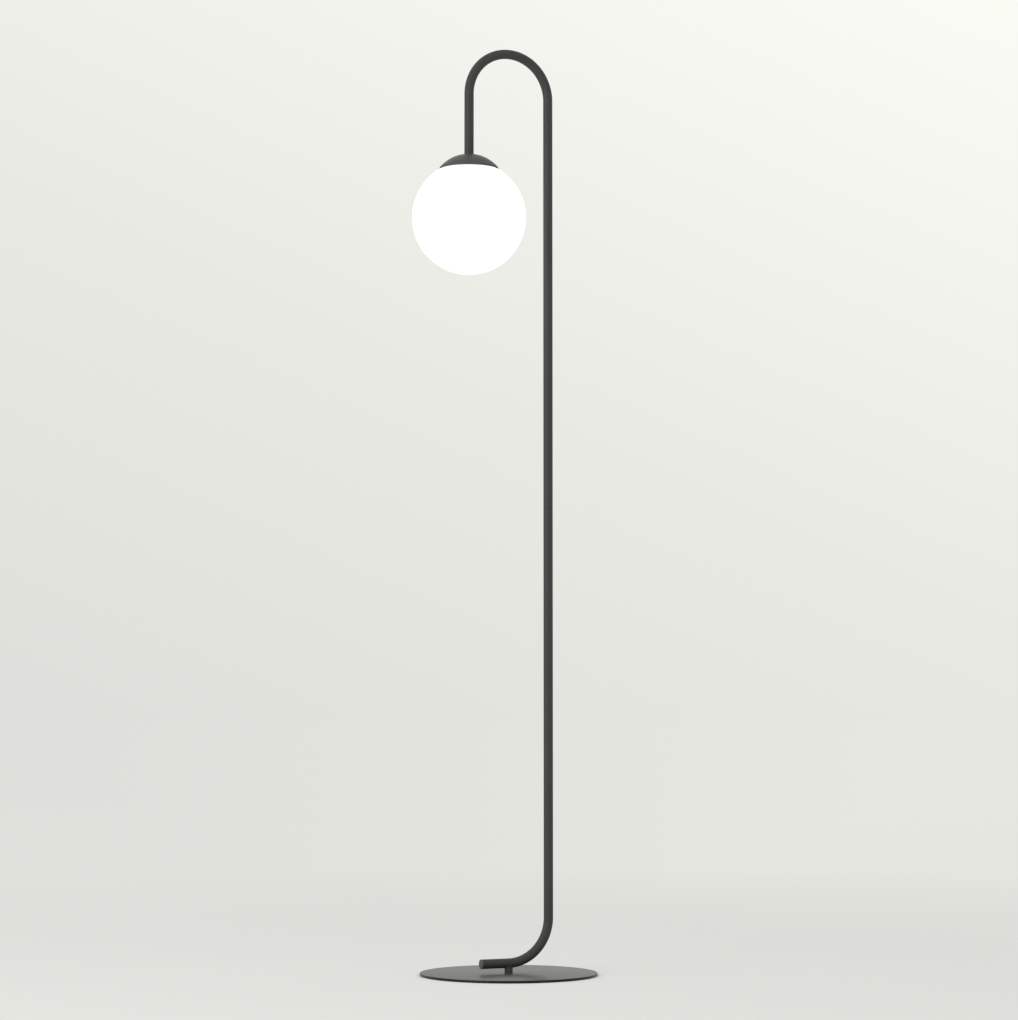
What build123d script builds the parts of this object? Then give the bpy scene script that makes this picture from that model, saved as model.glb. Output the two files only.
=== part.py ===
from build123d import *
import math
import os

# Globe floor lamp. Millimetres, +Z up. The origin is on the floor, at the centre of the round base.
# The lamp lies in the XZ plane: the column stands on the +X side and the globe hangs on the -X side.

# ---------------------------------------------------------------- driving dimensions

# Fits. A thread is drawn as a plain cylinder at its outer size, and so is the hole that it turns in.
thread_clearance = 0.05
sleeve_clearance = 0.05
pin_clearance = 0.05
cable_clearance = 0.4
rubber_clearance = 0.05

# Base
base_radius = 140.0
plate_thickness = 3.0
plate_edge_round = 0.5
pad_thickness = 1.0
pad_inset = 3.0
post_radius = 6.5
post_height = 7.2
base_screw_radius = 3.0
base_screw_head_radius = 5.6
base_screw_head_land = 0.3
base_screw_reach = 5.5
base_screw_tip_chamfer = 0.6
base_screw_key_radius = 2.3
base_screw_key_depth = 1.8
pin_radius = 0.75
pin_offset = 5.4
pin_depth = 1.5
pin_reach = 3.0

# Stem: one bent tube in two lengths
tube_radius = 7.5
tube_wall = 1.2
bend_radius = 70.0
arch_radius = 70.0
overall_height = 1475.0
drop_length = 98.0
run_length = 48.5
seam_height = 740.0
plug_flange = 1.2
plug_depth = 10.0
plug_chamfer = 0.4

# Screwed joint inside the column
coupler_radius = 5.0
coupler_bore_radius = 3.2
coupler_grip = 20.0
socket_length = 26.0

# Cord inlet at the back of the run, and the cable inside the stem
grommet_x = -28.0
grommet_hole_radius = 3.9
grommet_flange_radius = 4.9
grommet_proud = 1.2
grommet_inside = 0.8
cable_radius = 2.5
cable_exit_bend = 7.0
cable_tail = 2.0

# Dome cap over the globe
dome_radius = 47.0
dome_height = 23.5
dome_wall = 1.0
dome_lip = 2.0
dome_land_radius = 8.2
dome_hole_clearance = 0.2

# Threaded hanger down the middle of the head
nipple_radius = 5.0
nipple_bore_radius = 3.2
nipple_grip = 10.0
bush_length = 14.0
washer_radius = 7.6
washer_thickness = 0.8
nut_across_flats = 14.0
nut_thickness = 3.0
nut_spacing = 1.0

# Globe and the fitting that it screws into
globe_radius = 90.0
glass_wall = 2.5
rim_gap = 0.6
neck_radius = 27.5
neck_polish = 0.8
neck_shoulder = 0.8
gasket_thickness = 0.8
gasket_inset = 0.2
fitter_plate = 1.2
fitter_wall = 1.5
fitter_corner = 1.0
fitter_thread_clearance = 0.35
fitter_standoff = 1.1

# Lampholder for a small screw cap
holder_radius = 14.0
holder_wall = 1.8
holder_collar_radius = 7.6
holder_collar_length = 5.0
holder_shoulder = 4.0
holder_cap_length = 24.0
holder_shell_length = 25.0
holder_spigot_length = 4.0
holder_mouth_flange = 2.0
holder_mouth_clearance = 1.2
holder_grip = 8.0
core_flange_thickness = 4.0
core_flange_inset = 0.3
core_skirt_wall = 1.5
core_skirt_lift = 2.5
core_ledge = 3.0
contact_radius = 3.0
contact_thickness = 0.7
contact_rivet_radius = 1.2
screw_shell_wall = 0.35
spigot_wall = 0.9
grub_screw_radius = 1.5

# Terminals
clamp_length = 7.0
clamp_width = 5.0
clamp_height = 5.0
clamp_offset = 5.4
terminal_screw_radius = 1.25
terminal_head_radius = 2.2
terminal_head_height = 1.3
terminal_slot_width = 0.6
terminal_slot_depth = 0.7
terminal_spread = 1.6
lead_radius = 0.9
lead_spacing = 1.3
lead_depth = 2.5
lead_bend = 1.5

# Bulb
bulb_radius = 22.5
bulb_wall = 1.0
bulb_cap_radius = 6.95
bulb_cap_wall = 0.3
bulb_cap_length = 18.0
bulb_insulator_height = 4.0
bulb_insulator_seat = 2.0
bulb_tip_radius = 2.4
bulb_tip_height = 1.5
bulb_tip_round = 0.5
bulb_collar_length = 20.5
bulb_collar_straight = 5.0
bulb_collar_radius = 18.0
bulb_collar_wall = 1.2
bulb_collar_plug = 5.0
bulb_stand_out = 1.0
board_thickness = 1.0
chip_size = 2.8
chip_thickness = 0.7
chip_count = 8
chip_circle_radius = 10.5
driver_length = 14.0
driver_width = 9.0
driver_thickness = 1.2

# ---------------------------------------------------------------- planes and places

tube_bore = tube_radius - tube_wall
plate_bottom = pad_thickness
plate_top = plate_bottom + plate_thickness
run_z = plate_top + post_height + tube_radius
column_x = bend_radius
column_bottom = run_z + bend_radius
arch_z = overall_height - tube_radius - arch_radius
arch_x = column_x - arch_radius
head_x = column_x - 2 * arch_radius
land_z = arch_z - drop_length
rim_z = land_z - dome_height
dome_under = land_z - dome_wall
dome_inner_radius = dome_radius - dome_wall
globe_z = rim_z - rim_gap - math.sqrt(globe_radius**2 - dome_inner_radius**2)

# The nuts on the hanger set the fitter's height, and the fitter sets the neck's.
dome_nut_top = dome_under - washer_thickness
dome_nut_bottom = dome_nut_top - nut_thickness
fitter_top = dome_nut_bottom - nut_spacing - nut_thickness
fitter_bottom = fitter_top - fitter_plate
neck_top = fitter_bottom - gasket_thickness
shoulder_z = globe_z + math.sqrt(globe_radius**2 - neck_radius**2)
fitter_radius = neck_radius + fitter_thread_clearance + fitter_wall

# The lampholder hangs under the fitter, and the bulb's cap fills it to its centre contact.
holder_top = fitter_bottom
holder_split = holder_top - holder_cap_length
holder_mouth = holder_split - holder_shell_length
holder_bore = holder_radius - holder_wall
spigot_radius = holder_bore - thread_clearance
spigot_bore = spigot_radius - spigot_wall
nipple_bottom = holder_top - holder_grip
cable_end = nipple_bottom - cable_tail
bulb_cap_bottom = holder_mouth - bulb_stand_out
bulb_cap_top = bulb_cap_bottom + bulb_cap_length
insulator_top = bulb_cap_top + bulb_insulator_height
tip_top = insulator_top + bulb_tip_height
core_bottom = tip_top + contact_thickness
core_top = core_bottom + core_flange_thickness
screw_shell_bore = bulb_cap_radius + thread_clearance
screw_shell_radius = screw_shell_bore + screw_shell_wall
core_skirt_bore = screw_shell_radius + sleeve_clearance
core_skirt_radius = core_skirt_bore + core_skirt_wall
core_skirt_bottom = holder_mouth + core_skirt_lift
collar_bottom = bulb_cap_bottom - bulb_collar_length
bulb_z = collar_bottom - math.sqrt(bulb_radius**2 - bulb_collar_radius**2)
bulb_collar_bore = bulb_collar_radius - bulb_collar_wall


# ---------------------------------------------------------------- shared shapes


def turned(*corners):
    """Solid of revolution about the Z axis, from corners given as (radius, height)."""
    outline = Polyline(*[(radius, 0, height) for radius, height in corners], close=True)
    return revolve(make_face(outline), Axis.Z)


def ring(inner, outer, bottom, top):
    """Round bar, washer or sleeve about the Z axis."""
    return turned((inner, bottom), (outer, bottom), (outer, top), (inner, top))


def pipe(edges, outer, inner=0.0):
    """Tube, or a solid cable where inner is 0, along a chain of straight and round edges."""
    solid = None
    for edge in edges:
        plane = Plane(origin=edge @ 0, z_dir=edge % 0)
        section = plane * Circle(outer)
        if inner:
            section -= plane * Circle(inner)
        length = sweep(section, path=edge)
        solid = length if solid is None else solid + length
    return solid


def bore_along_y(radius, start, end):
    """Round bar along Y through the cord inlet, from y = start to y = end."""
    return Pos(grommet_x, start, run_z) * extrude(Plane.XZ * Circle(radius), start - end)


def hex_nut(bottom):
    """Nut on the hanger's thread."""
    blank = extrude(RegularPolygon(nut_across_flats / 2, 6, major_radius=False), nut_thickness)
    thread = ring(0, nipple_radius + thread_clearance, bottom, bottom + nut_thickness)
    return Pos(0, 0, bottom) * blank - thread


def at_head(shape):
    """Moves a piece that is built on the Z axis to the globe's axis."""
    return Pos(head_x, 0, 0) * shape


# ---------------------------------------------------------------- stem centrelines

run_start = (-run_length + plug_flange, 0, run_z)
bend_start = (0, 0, run_z)
bend_end = (column_x, 0, column_bottom)
seam_point = (column_x, 0, seam_height)
arch_start = (column_x, 0, arch_z)
arch_top = (arch_x, 0, arch_z + arch_radius)
arch_end = (head_x, 0, arch_z)
drop_end = (head_x, 0, land_z)


def bend_edge():
    """Quarter bend from the run up into the column."""
    return TangentArc(bend_start, bend_end, tangent=(1, 0, 0))


def arch_edge():
    """Half circle from the column over to the drop."""
    return ThreePointArc(arch_start, arch_top, arch_end)


# ---------------------------------------------------------------- base


def base_disc():
    """Round steel plate, with its edges broken, a countersunk hole and a pin hole."""
    plate = ring(0, base_radius, plate_bottom, plate_top)
    plate = fillet(plate.edges().filter_by(GeomType.CIRCLE), plate_edge_round)
    plate -= screw_body(thread_clearance)
    return plate - pin_body(pin_clearance)


def base_pad():
    """Felt that covers the plate's underside and the screw's head."""
    return ring(0, base_radius - pad_inset, 0, pad_thickness)


def screw_body(clearance):
    """Countersunk screw up through the plate, or its hole where clearance isn't 0."""
    shank = base_screw_radius + clearance
    head = base_screw_head_radius + clearance
    land = plate_bottom + base_screw_head_land
    cone_top = land + head - shank
    tip = plate_top + base_screw_reach + clearance
    return turned(
        (0, plate_bottom),
        (head, plate_bottom),
        (head, land),
        (shank, cone_top),
        (shank, tip),
        (0, tip),
    )


def base_screw():
    """Countersunk screw with a hexagon socket in its head."""
    screw = screw_body(0)
    screw = chamfer(screw.edges().sort_by(Axis.Z)[-1], base_screw_tip_chamfer)
    key = extrude(RegularPolygon(base_screw_key_radius, 6), base_screw_key_depth)
    return screw - Pos(0, 0, plate_bottom) * key


def pin_body(clearance):
    """Pin beside the screw that stops the post turning on the plate, or its hole."""
    bottom = plate_top - pin_depth - clearance
    return Pos(pin_offset, 0, 0) * ring(0, pin_radius + clearance, bottom, plate_top + pin_reach + clearance)


def base_post():
    """Short round post with its top hollowed to the tube, brazed to it."""
    post = ring(0, post_radius, plate_top, run_z)
    stem_line = [Line((-run_length, 0, run_z), bend_start), bend_edge()]
    post -= pipe(stem_line, tube_radius)
    return post - screw_body(thread_clearance) - pin_body(pin_clearance)


# ---------------------------------------------------------------- stem


def lower_stem():
    """Free run, quarter bend and lower half of the column, with the cord's hole at the back."""
    line = [Line(run_start, bend_start), bend_edge(), Line(bend_end, seam_point)]
    tube = pipe(line, tube_radius, tube_bore)
    return tube - bore_along_y(grommet_hole_radius, 0, 2 * tube_radius)


def upper_stem():
    """Upper half of the column, the arch and the drop to the dome."""
    line = [Line(seam_point, arch_start), arch_edge(), Line(arch_end, drop_end)]
    return pipe(line, tube_radius, tube_bore)


def end_plug():
    """Flanged plug that closes the run's free end."""
    plug_radius = tube_bore - sleeve_clearance
    flange = ring(0, tube_radius, 0, plug_flange)
    flange = chamfer(flange.edges().group_by(Axis.Z)[0], plug_chamfer)
    body = ring(0, plug_radius, plug_flange, plug_flange + plug_depth)
    body = chamfer(body.edges().group_by(Axis.Z)[-1], plug_chamfer)
    return Pos(-run_length, 0, run_z) * Rot(0, 90, 0) * (flange + body)


def stem_socket():
    """Threaded sleeve brazed flush into the top of the lower tube."""
    thread = coupler_radius + thread_clearance
    outside = tube_bore - sleeve_clearance
    return Pos(column_x, 0, 0) * ring(thread, outside, seam_height - socket_length, seam_height)


def stem_stud():
    """Hollow threaded stud brazed into the bottom of the upper tube."""
    body = ring(coupler_bore_radius, tube_bore - sleeve_clearance, seam_height, seam_height + coupler_grip)
    thread = ring(coupler_bore_radius, coupler_radius, seam_height - coupler_grip, seam_height)
    return Pos(column_x, 0, 0) * (body + thread)


def drop_bush():
    """Threaded bush brazed into the end of the drop."""
    return ring(nipple_radius + thread_clearance, tube_bore - sleeve_clearance, land_z, land_z + bush_length)


def cord_grommet():
    """Rubber grommet in the cord's hole, with a flange on each side of the tube's wall."""
    outer_end = tube_radius + grommet_proud
    inner_end = tube_bore - grommet_inside
    flanges = bore_along_y(grommet_flange_radius, inner_end, outer_end)
    wall = pipe([Line(run_start, bend_start)], tube_radius, tube_bore)
    core = bore_along_y(grommet_hole_radius - rubber_clearance, inner_end, outer_end)
    hole = bore_along_y(cable_radius + cable_clearance, 0, outer_end)
    return flanges - wall + core - hole


def inner_cable():
    """Cable from the grommet through the stem and the hanger to the lampholder."""
    inlet = (grommet_x, tube_radius + grommet_proud, run_z)
    turn_start = (grommet_x, cable_exit_bend, run_z)
    turn_end = (grommet_x + cable_exit_bend, 0, run_z)
    line = [
        Line(inlet, turn_start),
        TangentArc(turn_start, turn_end, tangent=(0, -1, 0)),
        Line(turn_end, bend_start),
        bend_edge(),
        Line(bend_end, arch_start),
        arch_edge(),
        Line(arch_end, (head_x, 0, cable_end)),
    ]
    return pipe(line, cable_radius)


# ---------------------------------------------------------------- dome and hanger


def dome_solid(radius, lip_top, land_radius, land_top):
    """Round cap with a straight lip and a flat land, down to the rim. Its crown is one arc."""
    rise = land_top - lip_top
    centre = (land_radius**2 + rise**2 - radius**2) / (2 * rise)
    crown = math.hypot(radius, centre)
    middle = (math.atan2(-centre, radius) + math.atan2(rise - centre, land_radius)) / 2
    arc_middle = (crown * math.cos(middle), 0, lip_top + centre + crown * math.sin(middle))
    lip_point = (radius, 0, lip_top)
    land_point = (land_radius, 0, land_top)
    outline = [
        Polyline(land_point, (0, 0, land_top), (0, 0, rim_z), (radius, 0, rim_z), lip_point),
        ThreePointArc(lip_point, arc_middle, land_point),
    ]
    return revolve(make_face(outline), Axis.Z)


def dome_cap():
    """Spun cap over the globe's neck. The tube's end stands on its flat land."""
    lip_top = rim_z + dome_lip
    shell = dome_solid(dome_radius, lip_top, dome_land_radius, land_z)
    shell -= dome_solid(dome_inner_radius, lip_top, dome_land_radius, dome_under)
    return shell - ring(0, nipple_radius + dome_hole_clearance, dome_under, land_z)


def hanger_nipple():
    """Hollow threaded rod from the drop's bush down into the lampholder."""
    return ring(nipple_bore_radius, nipple_radius, nipple_bottom, land_z + nipple_grip)


def dome_washer():
    """Washer between the dome and its nut."""
    return ring(nipple_radius + thread_clearance, washer_radius, dome_nut_top, dome_under)


def dome_nut():
    """Nut that pulls the dome up against the tube's end."""
    return hex_nut(dome_nut_bottom)


def fitter_nut():
    """Nut that holds the globe's fitter on the lampholder."""
    return hex_nut(fitter_top)


# ---------------------------------------------------------------- globe and its fitter


def globe_fitter():
    """Pressed plate with a threaded rim that the globe's neck screws into."""
    skirt_bottom = shoulder_z + fitter_standoff
    bore = neck_radius + fitter_thread_clearance
    cup = ring(0, fitter_radius, skirt_bottom, fitter_top)
    cup = fillet(cup.edges().group_by(Axis.Z)[-1], fitter_corner)
    cup -= ring(0, bore, skirt_bottom, fitter_bottom)
    return cup - ring(0, nipple_radius + thread_clearance, fitter_bottom, fitter_top)


def neck_gasket():
    """Flat silicone ring between the glass neck and the fitter."""
    inner = neck_radius - glass_wall + gasket_inset
    return ring(inner, neck_radius - gasket_inset, neck_top, fitter_bottom)


def glass_globe():
    """Blown opal globe with a short threaded neck at the top."""
    over_neck = ring(0, neck_radius, neck_top, neck_top + globe_radius)
    outer = Pos(0, 0, globe_z) * Sphere(globe_radius) + ring(0, neck_radius, globe_z, neck_top)
    inner = Pos(0, 0, globe_z) * Sphere(globe_radius - glass_wall)
    inner += ring(0, neck_radius - glass_wall, globe_z, neck_top)
    globe = outer - inner - over_neck
    globe = fillet(globe.edges().filter_by(GeomType.CIRCLE).group_by(Axis.Z)[-1], neck_polish)
    near = shoulder_z - neck_shoulder / 2, shoulder_z + neck_shoulder / 2
    return fillet(globe.edges().filter_by(GeomType.CIRCLE).filter_by_position(Axis.Z, *near), neck_shoulder)


# ---------------------------------------------------------------- lampholder


def holder_cap():
    """Upper half of the lampholder, screwed on the hanger, over the terminals."""
    shoulder_top = holder_top - holder_collar_length
    shoulder_bottom = shoulder_top - holder_shoulder
    thread = nipple_radius + thread_clearance
    outside = turned(
        (0, holder_split),
        (holder_radius, holder_split),
        (holder_radius, shoulder_bottom),
        (holder_collar_radius, shoulder_top),
        (holder_collar_radius, holder_top),
        (0, holder_top),
    )
    inside = turned(
        (0, holder_split),
        (holder_bore, holder_split),
        (holder_bore, shoulder_bottom - holder_wall),
        (thread, nipple_bottom),
        (thread, holder_top),
        (0, holder_top),
    )
    return outside - inside - grub_body(thread_clearance)


def grub_body(clearance):
    """Radial grub screw in the cap's collar, or its hole."""
    height = holder_top - holder_collar_length / 2
    screw = Cylinder(grub_screw_radius + clearance, holder_collar_radius - nipple_radius)
    middle = (holder_collar_radius + nipple_radius) / 2
    return Pos(middle, 0, height) * Rot(0, 90, 0) * screw


def holder_grub_screw():
    """Grub screw that locks the lampholder on the hanger."""
    outside_nipple = ring(0, nipple_radius + thread_clearance, nipple_bottom, holder_top)
    return grub_body(0) - outside_nipple


def holder_shell():
    """Lower half of the lampholder, with a spigot that screws into the cap and a ledge inside."""
    mouth = screw_shell_radius + holder_mouth_clearance
    spigot_top = holder_split + holder_spigot_length
    ledge_top = core_bottom
    ledge_bottom = ledge_top - core_ledge
    ledge_bore = core_skirt_radius + sleeve_clearance
    return turned(
        (mouth, holder_mouth),
        (holder_radius, holder_mouth),
        (holder_radius, holder_split),
        (spigot_radius, holder_split),
        (spigot_radius, spigot_top),
        (spigot_bore, spigot_top),
        (spigot_bore, ledge_top),
        (ledge_bore, ledge_top),
        (ledge_bore, ledge_bottom),
        (holder_bore, ledge_bottom - holder_wall),
        (holder_bore, holder_mouth + holder_mouth_flange),
        (mouth, holder_mouth + holder_mouth_flange),
    )


def holder_core():
    """Insulating core that carries the contacts and the terminals."""
    flange = ring(0, spigot_bore - core_flange_inset, core_bottom, core_top)
    skirt = ring(core_skirt_bore, core_skirt_radius, core_skirt_bottom, core_bottom)
    rivet_hole = ring(0, contact_rivet_radius + sleeve_clearance, core_bottom, core_top)
    return flange + skirt - rivet_hole


def holder_screw_shell():
    """Metal sleeve that the bulb's cap screws into."""
    return ring(screw_shell_bore, screw_shell_radius, core_skirt_bottom, core_bottom)


def centre_contact():
    """Contact that the bulb's tip presses on, riveted through the core."""
    pad = ring(0, contact_radius, tip_top, core_bottom)
    return pad + ring(0, contact_rivet_radius, core_bottom, core_top)


# ---------------------------------------------------------------- terminals and leads


def clamp_screw_x():
    """Distance of a terminal's screw from the axis."""
    return clamp_offset + terminal_spread


def clamp_wire_x():
    """Distance of a terminal's wire hole from the axis."""
    return clamp_offset - terminal_spread


def terminal_screw(side, clearance):
    """Cheese-head screw down into a clamp, on the side +1 or -1, or its hole."""
    clamp_top = core_top + clamp_height
    shank = ring(0, terminal_screw_radius + clearance, core_top, clamp_top)
    if clearance:
        return Pos(side * clamp_screw_x(), 0, 0) * shank
    head_top = clamp_top + terminal_head_height
    head = ring(0, terminal_head_radius, clamp_top, head_top)
    slot_z = head_top - terminal_slot_depth / 2
    slot = Pos(0, 0, slot_z) * Box(2 * terminal_head_radius, terminal_slot_width, terminal_slot_depth)
    return Pos(side * clamp_screw_x(), 0, 0) * (shank + head - slot)


def terminal_clamp(side):
    """Brass block on the core, with a screw hole and a wire hole."""
    block = Box(clamp_length, clamp_width, clamp_height, align=(Align.CENTER, Align.CENTER, Align.MIN))
    block = Pos(side * clamp_offset, 0, core_top) * block
    clamp_top = core_top + clamp_height
    wire_hole = ring(0, lead_radius + pin_clearance, clamp_top - lead_depth, clamp_top)
    wire_hole = Pos(side * clamp_wire_x(), 0, 0) * wire_hole
    return block - terminal_screw(side, thread_clearance) - wire_hole


def lead(side):
    """One core of the cable, from the sheath's end down into its clamp."""
    clamp_top = core_top + clamp_height
    wire_x = side * clamp_wire_x()
    start_x = side * lead_spacing
    span = cable_end - clamp_top
    route = FilletPolyline(
        (start_x, 0, cable_end),
        (start_x, 0, cable_end - span / 3),
        (wire_x, 0, clamp_top + span / 3),
        (wire_x, 0, clamp_top - lead_depth),
        radius=lead_bend,
    )
    return pipe(route.edges(), lead_radius)


def terminal_clamps():
    """The two terminal blocks."""
    return Compound(children=[at_head(terminal_clamp(side)) for side in (1, -1)])


def terminal_screws():
    """The two terminal screws."""
    return Compound(children=[at_head(terminal_screw(side, 0)) for side in (1, -1)])


# ---------------------------------------------------------------- bulb


def bulb_tip_contact():
    """Round contact at the very end of the bulb's cap."""
    tip = ring(0, bulb_tip_radius, insulator_top, tip_top)
    return fillet(tip.edges().group_by(Axis.Z)[-1], bulb_tip_round)


def bulb_insulator():
    """Cone of insulation between the cap's shell and its tip."""
    seat = bulb_cap_radius - bulb_cap_wall - thread_clearance
    return turned(
        (0, bulb_cap_top - bulb_insulator_seat),
        (seat, bulb_cap_top - bulb_insulator_seat),
        (seat, bulb_cap_top),
        (bulb_tip_radius, insulator_top),
        (0, insulator_top),
    )


def bulb_screw_cap():
    """Thin metal shell of the bulb's screw cap."""
    return ring(bulb_cap_radius - bulb_cap_wall, bulb_cap_radius, bulb_cap_bottom, bulb_cap_top)


def bulb_collar():
    """Plastic housing that flares from the screw cap to the frosted dome."""
    plug_radius = bulb_cap_radius - bulb_cap_wall - thread_clearance
    plug_bore = plug_radius - bulb_collar_wall
    plug_top = bulb_cap_bottom + bulb_collar_plug
    straight = collar_bottom + bulb_collar_straight
    return turned(
        (bulb_collar_bore, collar_bottom),
        (bulb_collar_radius, collar_bottom),
        (bulb_collar_radius, straight),
        (bulb_cap_radius, bulb_cap_bottom),
        (plug_radius, bulb_cap_bottom),
        (plug_radius, plug_top),
        (plug_bore, plug_top),
        (plug_bore, bulb_cap_bottom),
        (bulb_collar_bore, straight),
    )


def bulb_dome():
    """Frosted ball, cut off where it meets the collar."""
    shell = Pos(0, 0, bulb_z) * (Sphere(bulb_radius) - Sphere(bulb_radius - bulb_wall))
    return shell - ring(0, 2 * bulb_radius, collar_bottom, bulb_z + 2 * bulb_radius)


def led_board():
    """Round board across the collar's mouth, seated in the collar's bore."""
    return ring(0, bulb_collar_bore - sleeve_clearance, collar_bottom, collar_bottom + board_thickness)


def led_chips():
    """Ring of light-emitting chips under the board."""
    chip = Box(chip_size, chip_size, chip_thickness, align=(Align.CENTER, Align.CENTER, Align.MAX))
    places = PolarLocations(chip_circle_radius, chip_count)
    return Compound(children=[at_head(Pos(0, 0, collar_bottom) * place * chip) for place in places])


def driver_board():
    """Upright board behind the chips that feeds them."""
    board = Box(driver_width, driver_thickness, driver_length, align=(Align.CENTER, Align.CENTER, Align.MIN))
    return Pos(0, 0, collar_bottom + board_thickness) * board


# ---------------------------------------------------------------- writing the pieces

stand_pieces = {
    "base_disc": base_disc,
    "base_pad": base_pad,
    "base_post": base_post,
    "base_screw": base_screw,
    "locating_pin": lambda: pin_body(0),
    "lower_stem": lower_stem,
    "end_plug": end_plug,
    "stem_socket": stem_socket,
    "stem_stud": stem_stud,
    "upper_stem": upper_stem,
    "cord_grommet": cord_grommet,
    "inner_cable": inner_cable,
    "terminal_clamps": terminal_clamps,
    "terminal_screws": terminal_screws,
    "led_chips": led_chips,
}

head_pieces = {
    "drop_bush": drop_bush,
    "dome_cap": dome_cap,
    "hanger_nipple": hanger_nipple,
    "dome_washer": dome_washer,
    "dome_nut": dome_nut,
    "fitter_nut": fitter_nut,
    "globe_fitter": globe_fitter,
    "neck_gasket": neck_gasket,
    "glass_globe": glass_globe,
    "holder_cap": holder_cap,
    "holder_grub_screw": holder_grub_screw,
    "holder_shell": holder_shell,
    "holder_core": holder_core,
    "holder_screw_shell": holder_screw_shell,
    "centre_contact": centre_contact,
    "live_lead": lambda: lead(1),
    "neutral_lead": lambda: lead(-1),
    "bulb_tip_contact": bulb_tip_contact,
    "bulb_insulator": bulb_insulator,
    "bulb_screw_cap": bulb_screw_cap,
    "bulb_collar": bulb_collar,
    "bulb_dome": bulb_dome,
    "led_board": led_board,
    "driver_board": driver_board,
}

os.makedirs("parts", exist_ok=True)
for name, make in stand_pieces.items():
    export_step(make(), f"parts/{name}.step")
for name, make in head_pieces.items():
    export_step(at_head(make()), f"parts/{name}.step")
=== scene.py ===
"""Dresses the globe floor lamp and sets it in a plain studio.

Metres, +Z up. The origin is on the floor, at the centre of the round base. Each operator makes one group
of pieces round the fixed frame, and the last one makes the studio.
"""

import math

import bmesh
import bpy
from bpy.props import FloatProperty, FloatVectorProperty, IntProperty, PointerProperty
from mathutils import Matrix, Vector, noise


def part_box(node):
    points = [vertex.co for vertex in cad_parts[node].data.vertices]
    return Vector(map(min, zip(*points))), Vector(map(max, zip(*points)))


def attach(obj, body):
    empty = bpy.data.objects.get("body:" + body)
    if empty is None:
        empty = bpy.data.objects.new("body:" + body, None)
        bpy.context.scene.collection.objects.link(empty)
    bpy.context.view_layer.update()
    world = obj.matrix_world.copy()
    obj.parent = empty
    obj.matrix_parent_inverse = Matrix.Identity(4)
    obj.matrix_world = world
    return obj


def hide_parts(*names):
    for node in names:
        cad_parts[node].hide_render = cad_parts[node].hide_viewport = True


bl_info = {
    "name": "Globe Floor Lamp",
    "version": (1, 0, 0),
    "blender": (4, 5, 0),
    "location": "View3D > Sidebar > Globe Lamp",
    "description": "Bent-tube floor lamp with an opal globe, its fittings and a plain studio",
    "category": "Add Mesh",
}

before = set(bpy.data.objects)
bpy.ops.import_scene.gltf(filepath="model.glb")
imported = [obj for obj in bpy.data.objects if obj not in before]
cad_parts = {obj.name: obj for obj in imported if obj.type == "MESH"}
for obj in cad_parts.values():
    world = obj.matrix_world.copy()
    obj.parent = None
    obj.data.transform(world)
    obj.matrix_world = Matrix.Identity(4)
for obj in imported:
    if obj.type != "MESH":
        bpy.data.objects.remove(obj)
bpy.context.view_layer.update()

MM = 0.001
QUARTER = math.pi / 2
SMOOTH_ANGLE = math.radians(32)
WELD_DISTANCE = 1e-7
ON_SURFACE = 0.01 * MM  # points this near the outside count as on it

CLEARANCE = 0.05 * MM  # between a part and the bore that takes it
SCREW_HOLE = 3.05 * MM  # the holes are given by their radius
GROMMET_HOLE = 3.9 * MM
DOME_HOLE = 5.2 * MM
HANGER_HOLE = 5.05 * MM
GASKET_INSET = 0.2 * MM  # from the neck's outside in to the gasket's
FITTER_SHOULDER = 2 * MM  # plain height over the fitter's thread
FLOOR_EDGES = (0.6, 3, 12, 60)  # radii of the floor's rings
FLOOR_DROP = 0.2 * MM  # keeps the floor just under the felt

# ---------------------------------------------------------------- places, read from the frame


def centre_of(node):
    """Middle of a node's box."""
    low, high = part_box(node)
    return (low + high) / 2


def bottom_of(node):
    """Lowest height of a node."""
    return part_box(node)[0].z


def top_of(node):
    """Highest height of a node."""
    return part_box(node)[1].z


def radius_of(node):
    """Half of a round node's width, measured across the lamp's plane."""
    low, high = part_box(node)
    return (high.y - low.y) / 2


def round_size(node):
    """Radius of a round node, and its lowest and highest height."""
    return radius_of(node), bottom_of(node), top_of(node)


tube_radius = radius_of("upper_stem")
tube_bore = radius_of("drop_bush") + CLEARANCE
run_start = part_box("lower_stem")[0].x
run_z = centre_of("end_plug").z
column_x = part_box("lower_stem")[1].x - tube_radius
seam_z = top_of("lower_stem")
head_x = centre_of("dome_cap").x
land_z = top_of("dome_cap")
arch_radius = (column_x - head_x) / 2
arch_x = (column_x + head_x) / 2
arch_z = top_of("upper_stem") - tube_radius - arch_radius
globe_radius = radius_of("glass_globe")
globe_z = bottom_of("glass_globe") + globe_radius
neck_radius = radius_of("neck_gasket") + GASKET_INSET
shoulder_z = globe_z + math.sqrt(globe_radius**2 - neck_radius**2)


# ---------------------------------------------------------------- outlines and meshes


def arc(centre, radius, start, end, steps):
    """Points (across, up) round a centre, from one angle to another, both ends included."""
    turn = (end - start) / steps
    angles = [start + turn * step for step in range(steps + 1)]
    return [(centre[0] + radius * math.cos(a), centre[1] + radius * math.sin(a)) for a in angles]


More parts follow.
